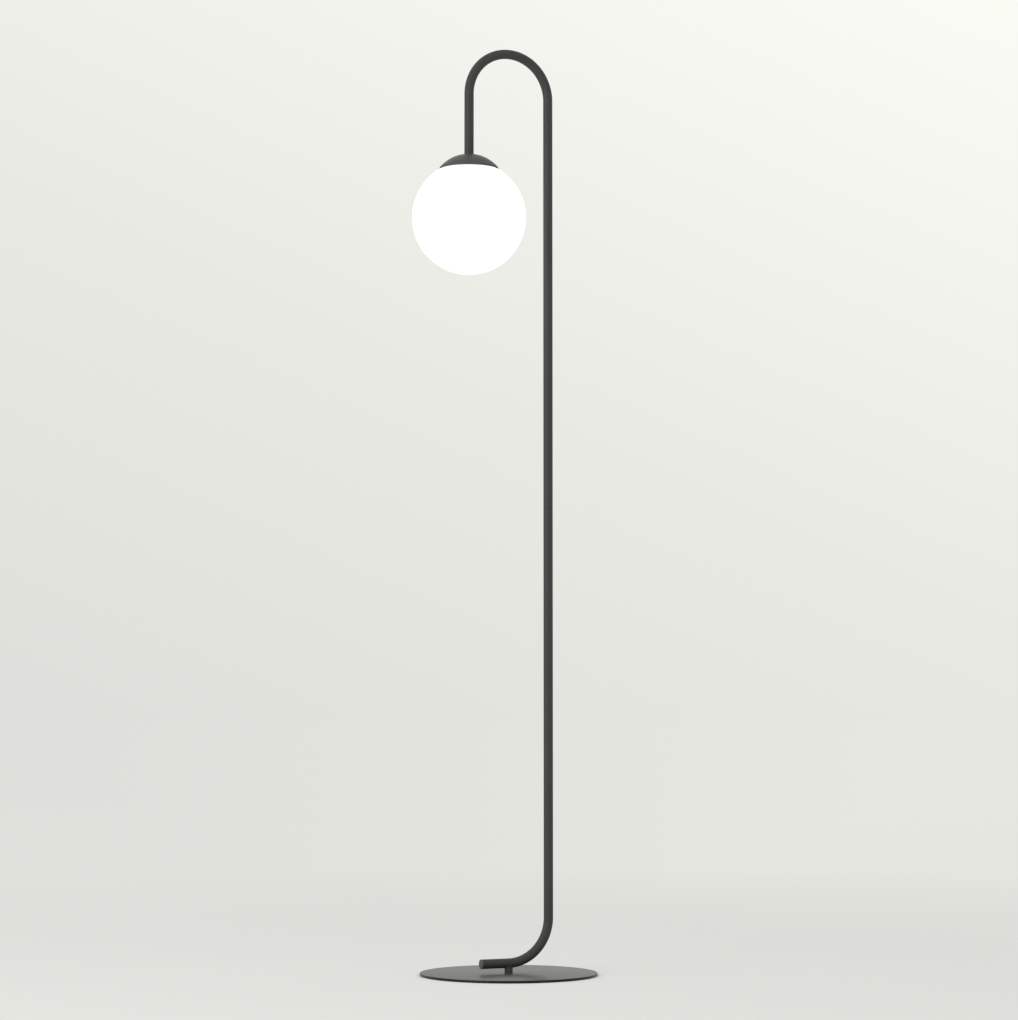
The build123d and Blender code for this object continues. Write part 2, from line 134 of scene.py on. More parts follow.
def softened(corners, steps=4):
    """Closed outline through corners (across, up, radius), each one rounded by its radius."""
    points = []
    for index, (across, up, radius) in enumerate(corners):
        corner = Vector((across, up))
        if not radius:
            points.append((across, up))
            continue
        before = (Vector(corners[index - 1][:2]) - corner).normalized()
        after = (Vector(corners[(index + 1) % len(corners)][:2]) - corner).normalized()
        half = before.angle(after) / 2
        centre = corner + (before + after).normalized() * (radius / math.sin(half))
        first = corner + before * (radius / math.tan(half)) - centre
        last = corner + after * (radius / math.tan(half)) - centre
        start = math.atan2(first.y, first.x)
        turn = math.remainder(math.atan2(last.y, last.x) - start, 2 * math.pi)
        points += arc(centre, radius, start, start + turn, steps)
    return points


def mesh_of_rings(name, rings, closed):
    """Mesh whose rings of points are each joined to the next, and the last to the first where closed."""
    shell = bmesh.new()
    rows = [[shell.verts.new(point) for point in ring] for ring in rings]
    pairs = list(zip(rows, rows[1:]))
    if closed:
        pairs.append((rows[-1], rows[0]))
    for lower, upper in pairs:
        for index in range(len(lower)):
            after = (index + 1) % len(lower)
            shell.faces.new((lower[index], lower[after], upper[after], upper[index]))
    bmesh.ops.remove_doubles(shell, verts=shell.verts, dist=WELD_DISTANCE)
    bmesh.ops.recalc_face_normals(shell, faces=shell.faces)
    return finished_mesh(name, shell)


def finished_mesh(name, shell):
    """Writes a bmesh to a new object with smooth faces and crisp corners."""
    if name in bpy.data.objects:
        raise RuntimeError(f"{name} is already made: start from the bare frame")
    mesh = bpy.data.meshes.new(name)
    shell.to_mesh(mesh)
    shell.free()
    mesh.shade_smooth()
    mesh.set_sharp_from_angle(angle=SMOOTH_ANGLE)
    piece = bpy.data.objects.new(name, mesh)
    bpy.context.scene.collection.objects.link(piece)
    return piece


def turned(name, outline, sides, x=head_x, shape=None, closed=True):
    """Turns an outline of (radius, height) about the upright axis at x. shape may change each radius."""
    angles = [2 * math.pi * side / sides for side in range(sides)]
    rings = []
    for radius, height in outline:
        radii = [shape(radius, height, angle) if shape else radius for angle in angles]
        rings.append([(x + r * math.cos(a), r * math.sin(a), height) for r, a in zip(radii, angles)])
    return mesh_of_rings(name, rings, closed)


def tube_ring(station, radius, sides):
    """Ring round a station (x, z, heading) of the stem's centreline."""
    x, z, heading = station
    points = []
    for side in range(sides):
        angle = 2 * math.pi * side / sides
        out = radius * math.cos(angle)
        aside = radius * math.sin(angle)
        points.append((x - out * math.sin(heading), aside, z + out * math.cos(heading)))
    return points


def moved_on(station, distance):
    """The station a distance further along its own heading."""
    x, z, heading = station
    return (x + distance * math.cos(heading), z + distance * math.sin(heading), heading)


def tube(name, stations, settings):
    """Hollow tube along stations, with its outer edges broken at both ends."""
    first, last = stations[0], stations[-1]
    chamfer, radius = settings.seam_chamfer, tube_radius
    outer = [moved_on(first, chamfer), *stations[1:-1], moved_on(last, -chamfer)]
    rings = [(first, radius - chamfer), *((station, radius) for station in outer), (last, radius - chamfer)]
    rings += [(station, tube_bore) for station in reversed(stations)]
    points = [tube_ring(station, size, settings.sides) for station, size in rings]
    return mesh_of_rings(name, points, closed=True)


def straight(start, end, heading, steps):
    """Stations along a straight length, from one (x, z) to another."""
    (x, z), (end_x, end_z) = start, end
    shares = [step / steps for step in range(steps + 1)]
    return [(x + (end_x - x) * share, z + (end_z - z) * share, heading) for share in shares]


def cut(piece, cutter):
    """Takes the cutter's shape out of a piece and removes the cutter."""
    hole = piece.modifiers.new("hole", "BOOLEAN")
    hole.object = cutter
    hole.solver = "EXACT"
    bpy.context.view_layer.update()
    holed = piece.evaluated_get(bpy.context.evaluated_depsgraph_get())
    mesh = bpy.data.meshes.new_from_object(holed)
    piece.modifiers.clear()
    piece.data = mesh
    mesh.name = piece.name
    bpy.data.objects.remove(cutter)


def round_bar(name, radius, start, end, sides=48):
    """Plain bar between two points, used to cut a hole."""
    shell = bmesh.new()
    axis = end - start
    turn = axis.to_track_quat("Z", "Y").to_matrix().to_4x4()
    place = Matrix.Translation((start + end) / 2) @ turn
    size = {"radius1": radius, "radius2": radius, "depth": axis.length}
    bmesh.ops.create_cone(shell, cap_ends=True, segments=sides, matrix=place, **size)
    return finished_mesh(name, shell)


def thread_wave(height, pitch, angle):
    """Rounded thread: 0 on its crest, 1 at its root."""
    return 0.5 - 0.5 * math.cos(2 * math.pi * (height / pitch) - angle)


def faded(height, low, high):
    """Share that is 1 between two heights and falls to 0 over the last millimetre before each."""
    return max(0.0, min(1.0, (height - low) / MM, (high - height) / MM))


def dress(piece, finish, body, slot, *nodes):
    """Gives a piece its finish and its body, and hides the nodes that it stands for. The slot is not used.
    """
    piece.data.materials.clear()
    piece.data.materials.append(finish)
    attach(piece, body)
    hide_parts(*nodes)


def coat(finish, *nodes):
    """Gives carried-over nodes their finish."""
    for node in nodes:
        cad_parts[node].material_slots[0].material = finish


# ---------------------------------------------------------------- finishes

# Colours that no setting changes
SCREW_STEEL = (0.60, 0.60, 0.58)
JOINT_STEEL = (0.58, 0.58, 0.56)
ZINC = (0.62, 0.62, 0.60)
NICKEL = (0.66, 0.64, 0.60)
CAP_NICKEL = (0.68, 0.66, 0.62)
BRASS = (0.72, 0.52, 0.22)
SILICONE = (0.62, 0.62, 0.60)
RUBBER = (0.014, 0.014, 0.014)
JACKET = (0.017, 0.017, 0.017)
BLACK_GLASS = (0.012, 0.012, 0.013)
LEAD_BROWN = (0.11, 0.042, 0.018)
LEAD_BLUE = (0.022, 0.085, 0.33)
CERAMIC = (0.70, 0.68, 0.62)
WHITE_BOARD = {"mask": (0.75, 0.75, 0.74), "copper": (0.70, 0.69, 0.66)}
GREEN_BOARD = {"mask": (0.012, 0.11, 0.045), "copper": (0.03, 0.18, 0.08)}
CHIP_YELLOW = (0.80, 0.62, 0.12)
CHIP_GLOW = (1.0, 0.85, 0.45)
DAYLIGHT = (1.0, 1.0, 0.99, 1.0)


class Graph:
    """Short ways to add and link shader nodes."""

    def __init__(self, tree):
        self.tree = tree

    def add(self, kind, inputs, **settings):
        """Adds a node, sets its options, and links or sets its inputs."""
        node = self.tree.nodes.new(kind)
        for name, value in settings.items():
            setattr(node, name, value)
        for name, value in inputs.items():
            if isinstance(value, bpy.types.NodeSocket):
                self.tree.links.new(value, node.inputs[name])
            else:
                node.inputs[name].default_value = value
        return node

    def maths(self, operation, *values):
        """Result of a sum on numbers."""
        return self.add("ShaderNodeMath", dict(enumerate(values)), operation=operation).outputs["Value"]

    def vectors(self, operation, *values):
        """Result of a sum on vectors, which is a number for a length or a dot product."""
        node = self.add("ShaderNodeVectorMath", dict(enumerate(values)), operation=operation)
        return node.outputs["Value" if operation in ("LENGTH", "DOT_PRODUCT") else "Vector"]

    def between(self, share, low, high, start=0.3, end=0.7):
        """Turns a share into a value from low to high."""
        inputs = {"Value": share, "From Min": start, "From Max": end, "To Min": low, "To Max": high}
        return self.add("ShaderNodeMapRange", inputs).outputs["Result"]

    def tints(self, share, *stops):
        """Colour for a share, from stops (place, colour)."""
        node = self.add("ShaderNodeValToRGB", {"Fac": share})
        ramp = node.color_ramp
        while len(ramp.elements) < len(stops):
            ramp.elements.new(1.0)
        for element, (position, colour) in zip(ramp.elements, stops):
            element.position = position
            element.color = (*colour, 1.0)
        return node.outputs["Color"]


class Finish(Graph):
    """Shader graph of one finish, laid out in the piece's own coordinates."""

    def __init__(self, name, sockets):
        self.material = bpy.data.materials.new(name)
        self.material.use_nodes = True
        super().__init__(self.material.node_tree)
        self.shader = self.tree.nodes["Principled BSDF"]
        self.place = self.add("ShaderNodeTexCoord", {}).outputs["Object"]
        for name, value in sockets.items():
            self.shader.inputs[name].default_value = value

    def stretched(self, scale):
        """The piece's coordinates, scaled by its own factor along each axis."""
        return self.add("ShaderNodeMapping", {"Vector": self.place, "Scale": scale}).outputs["Vector"]

    def cloud(self, scale, detail=3.0, place=None):
        """Soft noise from 0 to 1, with scale features to a metre."""
        inputs = {"Vector": place or self.place, "Scale": scale, "Detail": detail}
        return self.add("ShaderNodeTexNoise", inputs).outputs["Fac"]

    def cells(self, scale):
        """Distance to the middle of small cells."""
        return self.add("ShaderNodeTexVoronoi", {"Vector": self.place, "Scale": scale}).outputs["Distance"]

    def mottled(self, colour, spread, scale):
        """Base colour that wanders by a share about its mean."""
        share = self.cloud(scale, detail=4.0)
        darker = [channel * (1 - spread) for channel in colour]
        lighter = [channel * (1 + spread) for channel in colour]
        self.set("Base Color", self.tints(share, (0.3, darker), (0.7, lighter)))

    def rough(self, low, high, scale):
        """Roughness that wanders from low to high."""
        self.set("Roughness", self.between(self.cloud(scale), low, high))

    def mixed(self, share, first, second):
        """Colour between two colours, by a share."""
        inputs = {0: share, 6: first, 7: second}  # the mix node's sockets for colours
        return self.add("ShaderNodeMix", inputs, data_type="RGBA").outputs[2]

    def relief(self, *layers):
        """Surface relief from layers of (height share, depth in metres)."""
        normal = None
        for height, depth in layers:
            inputs = {"Height": height, "Distance": depth, "Strength": 1.0}
            if normal:
                inputs["Normal"] = normal
            normal = self.add("ShaderNodeBump", inputs).outputs["Normal"]
        self.set("Normal", normal)

    def set(self, socket, value):
        """Links a value to one of the shader's sockets."""
        self.tree.links.new(value, self.shader.inputs[socket])


def satin_coat(name, colour, settings, patch=0.04):
    """Satin powder coat: patches as strong as patch, a fine grain and orange peel."""
    paint = Finish(name, {"Specular IOR Level": settings.gloss})
    paint.mottled(colour, patch, 16.0)
    paint.rough(settings.roughness - patch / 2, settings.roughness + patch / 2, 42.0)
    peel = (paint.cloud(950.0, detail=2.0), settings.peel)
    grain = (paint.cloud(3600.0, detail=1.0), settings.peel / 3)
    paint.relief(peel, grain)
    return paint


def plate_coat_with_painted_edge_shade(settings):
    """Satin coat with painted shade: its colour goes dark over the plate's outer edge."""
    paint = satin_coat("base_paint", settings.paint, settings, patch=0.02)
    edge = radius_of("base_disc") - settings.edge_round
    out = paint.vectors("LENGTH", paint.vectors("MULTIPLY", paint.place, (1.0, 1.0, 0.0)))
    # Painted shade: towards the rim, the colour turns to the dark edge colour.
    share = paint.between(out, 0.0, 1.0, edge, edge + settings.edge_round / 2)
    top = paint.shader.inputs["Base Color"].links[0].from_socket
    paint.set("Base Color", paint.mixed(share, top, (*settings.painted_edge_shade, 1.0)))
    return paint.material


def needled_felt(name, colour):
    """Black felt: matted fibres with a soft nap."""
    felt = Finish(name, {"Roughness": 0.95, "Specular IOR Level": 0.2, "Sheen Weight": 0.35})
    felt.mottled(colour, 0.35, 900.0)
    fibres = felt.cloud(2600.0, detail=6.0, place=felt.stretched((1.0, 0.35, 1.0)))
    felt.relief((fibres, 0.25 * MM), (felt.cells(1400.0), 0.1 * MM))
    return felt.material


def plated_metal(name, colour, roughness, along=(1.0, 1.0, 1.0)):
    """Plated or bare metal with fine drawn lines, and dull patches from handling."""
    metal = Finish(name, {"Metallic": 1.0})
    metal.mottled(colour, 0.07, 120.0)
    metal.rough(roughness - 0.07, roughness + 0.09, 210.0)
    lines = metal.cloud(2400.0, place=metal.stretched(along))
    metal.relief((lines, 0.008 * MM))
    return metal.material


def moulded(name, colour, roughness, grain=0.012 * MM):
    """Moulded plastic or rubber: even colour, a fine mould grain and slight flow marks."""
    plastic = Finish(name, {"Specular IOR Level": 0.45})
    plastic.mottled(colour, 0.05, 85.0)
    plastic.rough(roughness - 0.05, roughness + 0.06, 160.0)
    mould_grain = (plastic.cloud(2100.0, detail=2.0), grain)
    flow_marks = (plastic.cloud(140.0, detail=1.0), grain)
    plastic.relief(mould_grain, flow_marks)
    return plastic.material


def unglazed_ceramic(name, colour):
    """Unglazed ceramic: chalky, with fine specks."""
    body = Finish(name, {"Roughness": 0.8, "Specular IOR Level": 0.3})
    specks = body.cells(1500.0)
    dark = [channel * 0.72 for channel in colour]
    body.set("Base Color", body.tints(specks, (0.04, dark), (0.14, colour)))
    body.relief((body.cloud(1300.0, detail=4.0), 0.02 * MM))
    return body.material


def lit_glass(name, colour, glow, strength, roughness):
    """Opal or frosted glass, lit from inside: clouds in the opal, and a satin skin."""
    sockets = {"Roughness": roughness, "Specular IOR Level": 0.4, "Emission Strength": strength}
    glass = Finish(name, sockets)
    glass.mottled(colour, 0.015, 22.0)
    clouds = glass.cloud(12.0, detail=2.0)
    thin = [channel * 0.97 for channel in glow]
    glass.glow = glass.tints(clouds, (0.3, thin), (0.7, glow))
    glass.set("Emission Color", glass.glow)
    glass.relief((glass.cloud(1900.0, detail=2.0), 0.004 * MM))
    return glass


def shaded_neck(glass, rim, fade, left):
    """Dims a lit glass to a share of its glow, from a stretch below the cap's rim upward."""
    height = glass.add("ShaderNodeSeparateXYZ", {"Vector": glass.place}).outputs["Z"]
    share = glass.between(height, 1.0, left, rim - fade, rim)
    glass.set("Emission Color", glass.vectors("MULTIPLY", glass.glow, share))


def circuit_board(name, mask, copper):
    """Solder mask over copper: tracks show as a slightly raised, lighter pattern."""
    board = Finish(name, {"Specular IOR Level": 0.5})
    tracks = board.add("ShaderNodeTexBrick", {"Vector": board.place, "Scale": 260.0}).outputs["Fac"]
    board.set("Base Color", board.tints(tracks, (0.0, mask), (1.0, copper)))
    board.rough(0.35, 0.5, 300.0)
    board.relief((tracks, 0.03 * MM))
    return board.material


# ---------------------------------------------------------------- settings


def colour_setting(name, description, default):
    """Setting for a colour."""
    return FloatVectorProperty(name=name, description=description, subtype="COLOR", default=default)


def place_setting(name, description, default):
    """Setting for a point in the lamp's frame."""
    return FloatVectorProperty(name=name, description=description, subtype="TRANSLATION", default=default)


def number_setting(name, description, default, **options):
    """Setting for a number, with its unit or limits."""
    return FloatProperty(name=name, description=description, default=default, **options)


def share_setting(name, description, default):
    """Setting for a share from 0 to 1."""
    return number_setting(name, description, default, subtype="FACTOR", min=0, max=1)


def length_setting(name, description, default, **options):
    """Setting for a length."""
    return number_setting(name, description, default, unit="LENGTH", **options)


def angle_setting(name, description, default):
    """Setting for an angle."""
    return number_setting(name, description, default, subtype="ANGLE")


def gloss_setting(default):
    """Setting for a coat's gloss."""
    return share_setting("Gloss", "Strength of the coat's reflections", default)


def roughness_setting(default):
    """Setting for a coat's roughness."""
    return share_setting("Roughness", "Blur of the coat's reflections", default)


def peel_setting(default):
    """Setting for the depth of a coat's texture."""
    return length_setting("Orange Peel", "Depth of the coat's texture", default, precision=6)


class BaseSettings(bpy.types.PropertyGroup):
    """Round plate and the felt under it."""

    paint: colour_setting("Paint", "Colour of the plate's coat", (0.042, 0.042, 0.040))
    # Painted shade on the plate's outer edge, which is coloured darker than the face.
    painted_edge_shade: colour_setting("Edge Paint", "Colour of the plate's cut edge", (0.007, 0.007, 0.007))
    gloss: gloss_setting(0.3)
    roughness: roughness_setting(0.37)
    peel: peel_setting(0.02 * MM)
    edge_round: length_setting("Edge Round", "Radius on the plate's edges", 0.5 * MM)
    felt: colour_setting("Felt", "Colour of the floor felt", (0.016, 0.016, 0.016))
    felt_nap: length_setting("Felt Nap", "How ragged the felt's cut edge is", 0.2 * MM)


class StemSettings(bpy.types.PropertyGroup):
    """Bent tube, its post and its end plug."""

    paint: colour_setting("Paint", "Colour of the tube's coat", (0.043, 0.043, 0.042))
    # Painted light: the end plug's coat is lighter than the tube's, standing for the light on its face.
    plug_paint: colour_setting("Plug Paint", "Colour of the end plug", (0.095, 0.095, 0.091))
    gloss: gloss_setting(0.2)
    roughness: roughness_setting(0.5)
    peel: peel_setting(0.012 * MM)
    seam_chamfer: length_setting("Seam Chamfer", "Broken edge where the tube's lengths meet", 0.25 * MM)
    bead: length_setting("Braze Bead", "Radius of the bead round the post", 0.7 * MM)
    sides: IntProperty(name="Sides", description="Facets round the tube", default=72, min=12)


class DomeSettings(bpy.types.PropertyGroup):
    """Spun cap over the globe."""

    paint: colour_setting("Paint", "Colour of the cap's coat", (0.058, 0.058, 0.056))
    gloss: gloss_setting(0.25)
    roughness: roughness_setting(0.45)
    peel: peel_setting(0.012 * MM)
    wall: length_setting("Wall", "Thickness of the spun sheet", 1 * MM)
    lip: length_setting("Lip", "Height of the upright lip", 2 * MM)
    crown_round: length_setting("Crown Round", "Radius between the crown and the lip", 1.6 * MM)
    land: length_setting("Land", "Radius of the flat that the tube stands on", 8.2 * MM)


class GlobeSettings(bpy.types.PropertyGroup):
    """Opal globe with its threaded neck, and the fitter that holds it."""

    opal: colour_setting("Opal", "Colour of the glass", (0.88, 0.88, 0.86))
    glow: colour_setting("Glow", "Colour of the light in the glass", (1.0, 0.995, 0.97))
    glow_strength: number_setting("Glow Strength", "Brightness of the lit glass", 1.6, min=0)
    neck_glow: share_setting("Neck Glow", "Share of the glow left in the neck", 0.06)
    neck_fade: length_setting("Neck Fade", "Height over which the glow dims below the cap", 6 * MM)
    wall: length_setting("Wall", "Thickness of the glass", 2.5 * MM)
    thread_pitch: length_setting("Thread Pitch", "Climb of the neck's thread in one turn", 2.9 * MM)
    thread_depth: length_setting("Thread Depth", "Height of the neck's thread", 0.6 * MM)
    fitter_wall: length_setting("Fitter Wall", "Thickness of the fitter's sheet", 1.2 * MM)


class HolderSettings(bpy.types.PropertyGroup):
    """Lampholder in two halves."""

    plastic: colour_setting("Plastic", "Colour of the moulding", (0.018, 0.018, 0.018))
    wall: length_setting("Wall", "Thickness of the moulding", 1.8 * MM)
    mouth: length_setting("Mouth", "Radius of the bulb's way in", 8.5 * MM)
    flutes: IntProperty(name="Flutes", description="Grip flutes round the lower half", default=28, min=3)
    flute_depth: length_setting("Flute Depth", "Depth of the grip flutes", 0.45 * MM)


class BulbSettings(bpy.types.PropertyGroup):
    """Small bulb with a screw cap."""

    housing: colour_setting("Housing", "Colour of the collar", (0.80, 0.80, 0.78))
    frost: colour_setting("Frost", "Colour of the frosted ball", (0.62, 0.61, 0.58))
    glow: colour_setting("Glow", "Colour of the light", (1.0, 0.93, 0.80))
    glow_strength: number_setting("Glow Strength", "Brightness of the lit ball", 0.35, min=0)
    wall: length_setting("Wall", "Thickness of the ball", 1 * MM)
    thread_pitch: length_setting("Thread Pitch", "Climb of the cap's thread in one turn", 2.82 * MM)
    thread_depth: length_setting("Thread Depth", "Height of the cap's thread", 0.5 * MM)


class StudioSettings(bpy.types.PropertyGroup):
    """Floor, backdrop, light and camera."""

    floor: colour_setting("Floor", "Colour of the floor near the lamp", (0.775, 0.782, 0.750))
    blend_start: length_setting("Blend Start", "Distance where the floor starts to blend", 0.9)
    blend_end: length_setting("Blend End", "Distance from which the floor is all backdrop", 3.0)
    low: colour_setting("Low", "Colour of the backdrop where it is darkest", (0.730, 0.737, 0.701))
    middle: colour_setting("Middle", "Colour of the backdrop at mid height", (0.807, 0.815, 0.768))
    upper: colour_setting("Upper", "Colour of the backdrop higher up", (0.880, 0.888, 0.839))
    high: colour_setting("High", "Colour of the backdrop where it is lightest", (0.973, 0.982, 0.913))
    lean: number_setting("Lean", "How much lighter the backdrop's two light corners are", 0.45)
    lean_limit: number_setting("Lean Limit", "Cap on the lean towards a corner", 0.2, min=0.01)
    lean_heading: angle_setting("Lean Heading", "Turn of the backdrop's corners about the upright", 0.447)
    lean_reach: length_setting("Lean Reach", "Distance at which the floor has half of the lean", 4.7)
    ambient: number_setting("Ambient", "Strength of the light from all round", 0.85, min=0)
    key: number_setting("Key", "Power of the large lamp at the left", 100, unit="POWER", min=0)
    key_size: length_setting("Key Size", "Width of the large lamp", 3.0)
    key_place: place_setting("Key Place", "Where the large lamp stands", (-4.8, -1.7, 1.7))
    key_target: place_setting("Key Target", "Point that the large lamp faces", (0, 0, 0.75))
    lens: number_setting("Lens", "Focal length for a frame of 36 mm", 104.34, subtype="DISTANCE_CAMERA")
    eye: place_setting("Eye", "Where the camera stands", (-2.0287, -4.2323, 0.4276))
    heading: angle_setting("Heading", "Camera's turn from straight ahead", 0.4471)
    pitch: angle_setting("Pitch", "Camera's tilt upward", 0.0652)


# ---------------------------------------------------------------- base


class LAMP_OT_base(bpy.types.Operator):
    """Round steel plate, the felt under it, and the screw and pin that hold the post"""

    bl_idname = "lamp.base"
    bl_label = "Base"

    def execute(self, context):
        settings = context.scene.lamp_base
        plate = turned("round_plate", plate_outline(settings.edge_round), sides=360, x=0)
        dress(plate, plate_coat_with_painted_edge_shade(settings), "lamp", "base_paint", "base_disc")
        felt = turned("floor_felt", felt_outline(), sides=360, x=0, shape=ragged_edge(settings.felt_nap))
        dress(felt, needled_felt("pad_felt", settings.felt), "lamp", "pad_felt", "base_pad")
        coat(plated_metal("plated_screw", SCREW_STEEL, 0.32), "base_screw", "locating_pin")
        return {"FINISHED"}


def plate_outline(edge_round):
    """Plate with a countersunk hole, from the hole's top outward."""
    radius, bottom, top = round_size("base_disc")
    head = radius_of("base_screw") + CLEARANCE
    corners = [
        (SCREW_HOLE, top, 0),
        (radius, top, edge_round),
        (radius, bottom, edge_round),
        (head, bottom, 0),
        (SCREW_HOLE, bottom + head - SCREW_HOLE, 0),
    ]
    return softened(corners)


def felt_outline():
    """Felt disc, with its edge in several rows so that it can be ragged."""
    radius, bottom, top = round_size("base_pad")
    border, rows = 2 * MM, 5
    edge = [(radius, top - (top - bottom) * row / rows) for row in range(rows + 1)]
    return [(0, top), (radius - border, top), *edge, (radius - border, bottom), (0, bottom)]


def ragged_edge(nap):
    """Shape that frays the felt's cut edge inward by up to nap."""
    edge = radius_of("base_pad") - 1 * MM
    tufts = 60

    def fray(radius, height, angle):
        if radius < edge:
            return radius
        spot = Vector((math.cos(angle) * tufts, math.sin(angle) * tufts, height / MM))
        return radius - nap * (0.5 + 0.5 * noise.noise(spot))

    return fray


# ---------------------------------------------------------------- stem


class LAMP_OT_stem(bpy.types.Operator):
    """Bent tube in two lengths, its brazed post, the end plug and the screwed joint inside"""

    bl_idname = "lamp.stem"
    bl_label = "Stem"

    def execute(self, context):
        settings = context.scene.lamp_stem
        paint = satin_coat("stem_paint", settings.paint, settings).material
        lower = tube("lower_tube", lower_line(), settings)
        cut(lower, grommet_hole())
        dress(lower, paint, "lamp", "stem_paint", "lower_stem")
        upper = tube("upper_tube", upper_line(), settings)
        dress(upper, paint, "lamp", "stem_paint", "upper_stem")
        dress(post_bead(settings.bead), paint, "lamp", "stem_paint")
        coat(paint, "base_post")
        # Painted light: the plug gets a lighter copy of the tube's satin coat.
        plug_paint = satin_coat("plug_paint", settings.plug_paint, settings).material
        dress(end_plug(), plug_paint, "lamp", "plug_paint", "end_plug")
        coat(plated_metal("joint_steel", JOINT_STEEL, 0.34), "stem_socket", "stem_stud")
        return {"FINISHED"}


def bend(centre, radius, start, end, steps):
    """Stations round a bend after its first point, each one heading a quarter turn past its angle."""
    points = arc(centre, radius, start, end, steps)[1:]
    headings = [start + QUARTER + (end - start) * step / steps for step in range(1, steps + 1)]
    return [(x, z, heading) for (x, z), heading in zip(points, headings)]


def lower_line():
    """Run, quarter bend and lower half of the column."""
    centre = (0, run_z + column_x)
    run = straight((run_start, run_z), (0, run_z), 0, steps=48)
    column = straight((column_x, centre[1]), (column_x, seam_z), QUARTER, steps=12)[1:]
    return run + bend(centre, column_x, -QUARTER, 0, steps=48) + column


def upper_line():
    """Upper half of the column, the arch, and the drop to the dome."""
    column = straight((column_x, seam_z), (column_x, arch_z), QUARTER, steps=12)
    drop = straight((head_x, arch_z), (head_x, land_z), 3 * QUARTER, steps=6)[1:]
    return column + bend((arch_x, arch_z), arch_radius, 0, math.pi, steps=96) + drop


def grommet_hole():
    """Bar that cuts the cord's hole through the back of the run."""
    middle = centre_of("cord_grommet")
    start = Vector((middle.x, 0, middle.z))
    return round_bar("hole_cutter", GROMMET_HOLE, start, start + Vector((0, 2 * tube_radius, 0)))


def under_tube(x, y):
    """Height of the run's underside, or of the bend's where x is past its start."""
    drop = math.sqrt(tube_radius**2 - y**2)
    if x <= 0:
        return run_z - drop
    return run_z + column_x - math.sqrt((column_x + drop) ** 2 - x**2)


def post_bead(bead, steps=144, sides=12):
    """Smooth bead of braze where the post meets the underside of the tube."""
    radius = radius_of("base_post")
    rings = []
    for step in range(steps):
        angle = 2 * math.pi * step / steps
        x, y = radius * math.cos(angle), radius * math.sin(angle)
        z = under_tube(x, y)
        ring = []
        for side in range(sides):
            turn = 2 * math.pi * side / sides
            out = radius + bead * math.cos(turn)
            ring.append((out * math.cos(angle), out * math.sin(angle), z + bead * math.sin(turn)))
        rings.append(ring)
    return mesh_of_rings("post_bead", rings, closed=True)


def end_plug():
    """Flanged plug in the run's free end, with a softened rim."""
    start, end = (corner.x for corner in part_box("end_plug"))
    body = radius_of("drop_bush")
    rim_round, seat_round, nose_round = 0.45 * MM, 0.1 * MM, 0.4 * MM
    corners = [
        (0, start, 0),
        (tube_radius, start, rim_round),
        (tube_radius, run_start, seat_round),
        (body, run_start, 0),
        (body, end, nose_round),
        (0, end, 0),
    ]
    plug = turned("tube_end_plug", softened(corners), sides=96, x=0, closed=False)
    lay_along_x(plug)
    return plug


def lay_along_x(piece):
    """Turns a piece from the upright axis onto the run's axis."""
    piece.data.transform(Matrix.Translation((0, 0, run_z)) @ Matrix.Rotation(QUARTER, 4, "Y"))


# ---------------------------------------------------------------- cord inlet


class LAMP_OT_inlet(bpy.types.Operator):
    """Grommet at the back of the run, and the cable inside the stem"""

    bl_idname = "lamp.inlet"
    bl_label = "Cord Inlet"

    def execute(self, context):
        coat(moulded("grommet_rubber", RUBBER, 0.62, 0.02 * MM), "cord_grommet")
        coat(moulded("cable_jacket", JACKET, 0.5), "inner_cable")
        return {"FINISHED"}


# ---------------------------------------------------------------- dome and hanger


class LAMP_OT_dome(bpy.types.Operator):
    """Spun cap over the globe's neck"""

    bl_idname = "lamp.dome"
    bl_label = "Dome Cap"

    def execute(self, context):
        settings = context.scene.lamp_dome
        paint = satin_coat("dome_paint", settings.paint, settings).material
        dome = turned("spun_cap", dome_outline(settings), sides=240)
        dress(dome, paint, "lamp", "dome_paint", "dome_cap")
        return {"FINISHED"}


def crown_arc(radius, lip_top, land, top, round_radius):
    """Crown as one arc from the land down to the lip, with a tangent round between them."""
    rise = top - lip_top
    below = (land**2 + rise**2 - radius**2) / (2 * rise)
    crown = math.hypot(radius, below)
    centre = lip_top + below
    corner_x = radius - round_radius
    corner_z = centre + math.sqrt((crown - round_radius) ** 2 - corner_x**2)
    start = math.atan2(top - centre, land)
    end = math.atan2(corner_z - centre, corner_x)
    points = arc((0, centre), crown, start, end, steps=36)
    return points + arc((corner_x, corner_z), round_radius, end, 0, steps=8)[1:]


def dome_outline(settings):
    """Outside from the hole out to the lip, round the rolled rim, and back up inside."""
    radius, rim = radius_of("dome_cap"), bottom_of("dome_cap")
    lip_top = rim + settings.lip
    wall = settings.wall
    outside = crown_arc(radius, lip_top, settings.land, land_z, settings.crown_round)
    inner_round = settings.crown_round - wall / 2
    inside = crown_arc(radius - wall, lip_top, settings.land, land_z - wall, inner_round)
    rolled = arc((radius - wall / 2, rim + wall / 2), wall / 2, 0, -math.pi, steps=8)
    return [(DOME_HOLE, land_z), *outside, *rolled, *reversed(inside), (DOME_HOLE, land_z - wall)]


class LAMP_OT_hanger(bpy.types.Operator):
    """Threaded hanger with its bush, washer and nuts, and the lampholder's grub screw"""

    bl_idname = "lamp.hanger"
    bl_label = "Hanger"

    def execute(self, context):
        zinc = plated_metal("hanger_zinc", ZINC, 0.3)
        coat(zinc, "drop_bush", "hanger_nipple", "dome_washer", "dome_nut")
        coat(zinc, "fitter_nut", "holder_grub_screw")
        return {"FINISHED"}


# ---------------------------------------------------------------- globe, fitter and gasket


